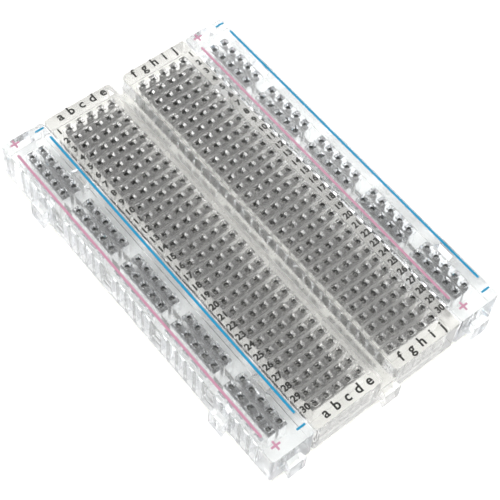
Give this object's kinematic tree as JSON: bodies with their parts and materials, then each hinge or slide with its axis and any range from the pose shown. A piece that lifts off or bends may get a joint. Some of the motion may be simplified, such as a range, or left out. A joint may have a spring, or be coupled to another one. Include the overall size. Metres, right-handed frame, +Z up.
{
  "type": "solderless breadboard",
  "caption": "Clear half-size solderless breadboard: a terminal strip with a centre channel between two detachable power strips, sprung clips inside, foam backing.",
  "frame": {"origin": "middle of the sticky base's underside, under the centre channel", "axes": "+X across the board from the left power strip to the right one, +Y along it towards row 1, +Z up out of the holes"},
  "size_m": [0.0555, 0.0837, 0.0095],
  "materials": {
    "clear_plastic": "gloss",
    "clip_metal": "satin",
    "foam": "matte",
    "liner_paper": "satin",
    "printed_red": "satin",
    "printed_blue": "satin",
    "printed_black": "satin"
  },
  "bodies": {
    "right_power_strip": {"right_power_strip_housing": "clear_plastic", "right_power_strip_foam_pad": "foam", "right_power_strip_release_liner": "liner_paper", "right_positive_bus_clip": "clip_metal", "right_negative_bus_clip": "clip_metal"},
    "terminal_strip": {"terminal_strip_housing": "clear_plastic", "terminal_strip_foam_pad": "foam", "terminal_strip_release_liner": "liner_paper", "clips_ae_rows_01_02": "clip_metal", "clips_ae_rows_03_04": "clip_metal", "clips_ae_rows_05_06": "clip_metal", "clips_ae_rows_07_08": "clip_metal", "clips_ae_rows_09_10": "clip_metal", "clips_ae_rows_11_12": "clip_metal", "clips_ae_rows_13_14": "clip_metal", "clips_ae_rows_15_16": "clip_metal", "clips_ae_rows_17_18": "clip_metal", "clips_ae_rows_19_20": "clip_metal", "clips_ae_rows_21_22": "clip_metal", "clips_ae_rows_23_24": "clip_metal", "clips_ae_rows_25_26": "clip_metal", "clips_ae_rows_27_28": "clip_metal", "clips_ae_rows_29_30": "clip_metal", "clips_fj_rows_01_02": "clip_metal", "clips_fj_rows_03_04": "clip_metal", "clips_fj_rows_05_06": "clip_metal", "clips_fj_rows_07_08": "clip_metal", "clips_fj_rows_09_10": "clip_metal", "clips_fj_rows_11_12": "clip_metal", "clips_fj_rows_13_14": "clip_metal", "clips_fj_rows_15_16": "clip_metal", "clips_fj_rows_17_18": "clip_metal", "clips_fj_rows_19_20": "clip_metal", "clips_fj_rows_21_22": "clip_metal", "clips_fj_rows_23_24": "clip_metal", "clips_fj_rows_25_26": "clip_metal", "clips_fj_rows_27_28": "clip_metal", "clips_fj_rows_29_30": "clip_metal"},
    "left_power_strip": {"left_power_strip_housing": "clear_plastic", "left_power_strip_foam_pad": "foam", "left_power_strip_release_liner": "liner_paper", "left_positive_bus_clip": "clip_metal", "left_negative_bus_clip": "clip_metal"}
  },
  "joints": [
    {"name": "terminal_strip_lift", "type": "slide", "parent": "right_power_strip", "child": "terminal_strip", "axis": [0, 0, 1], "range_m": [0, 0.012]},
    {"name": "left_power_strip_lift", "type": "slide", "parent": "terminal_strip", "child": "left_power_strip", "axis": [0, 0, 1], "range_m": [0, 0.012]}
  ]
}
